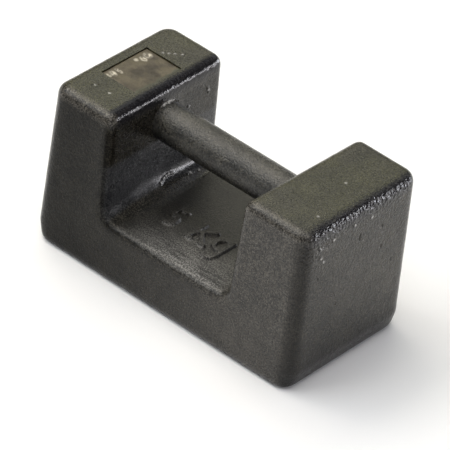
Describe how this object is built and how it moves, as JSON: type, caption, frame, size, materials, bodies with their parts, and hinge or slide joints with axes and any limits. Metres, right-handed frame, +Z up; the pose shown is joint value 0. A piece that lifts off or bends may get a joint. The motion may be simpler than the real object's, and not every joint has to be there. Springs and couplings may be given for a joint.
{
  "type": "rectangular bar calibration weight",
  "caption": "Notched block-shaped cast iron test weight with a round grip bar between its two uprights and a sealed adjusting cavity.",
  "frame": {"origin": "centre of the base rectangle, on the plane the weight stands on", "axes": "+X along the length from the upright with the adjusting cavity to the plain upright, +Y across the width, +Z up"},
  "size_m": [0.152, 0.0774, 0.084],
  "materials": {
    "iron": "black semi-gloss lacquer over fine sand-cast grain",
    "grip": "worn black lacquer on round steel bar",
    "plate": "plain mild steel",
    "lead": "dull tarnished lead with bright punch marks",
    "shot": "dull lead shot"
  },
  "bodies": {
    "root": {"body_casting": "iron", "grip_bar": "grip", "cavity_cover_plate": "plate", "lead_seal": "lead", "adjusting_shot": "shot"}
  },
  "joints": []
}
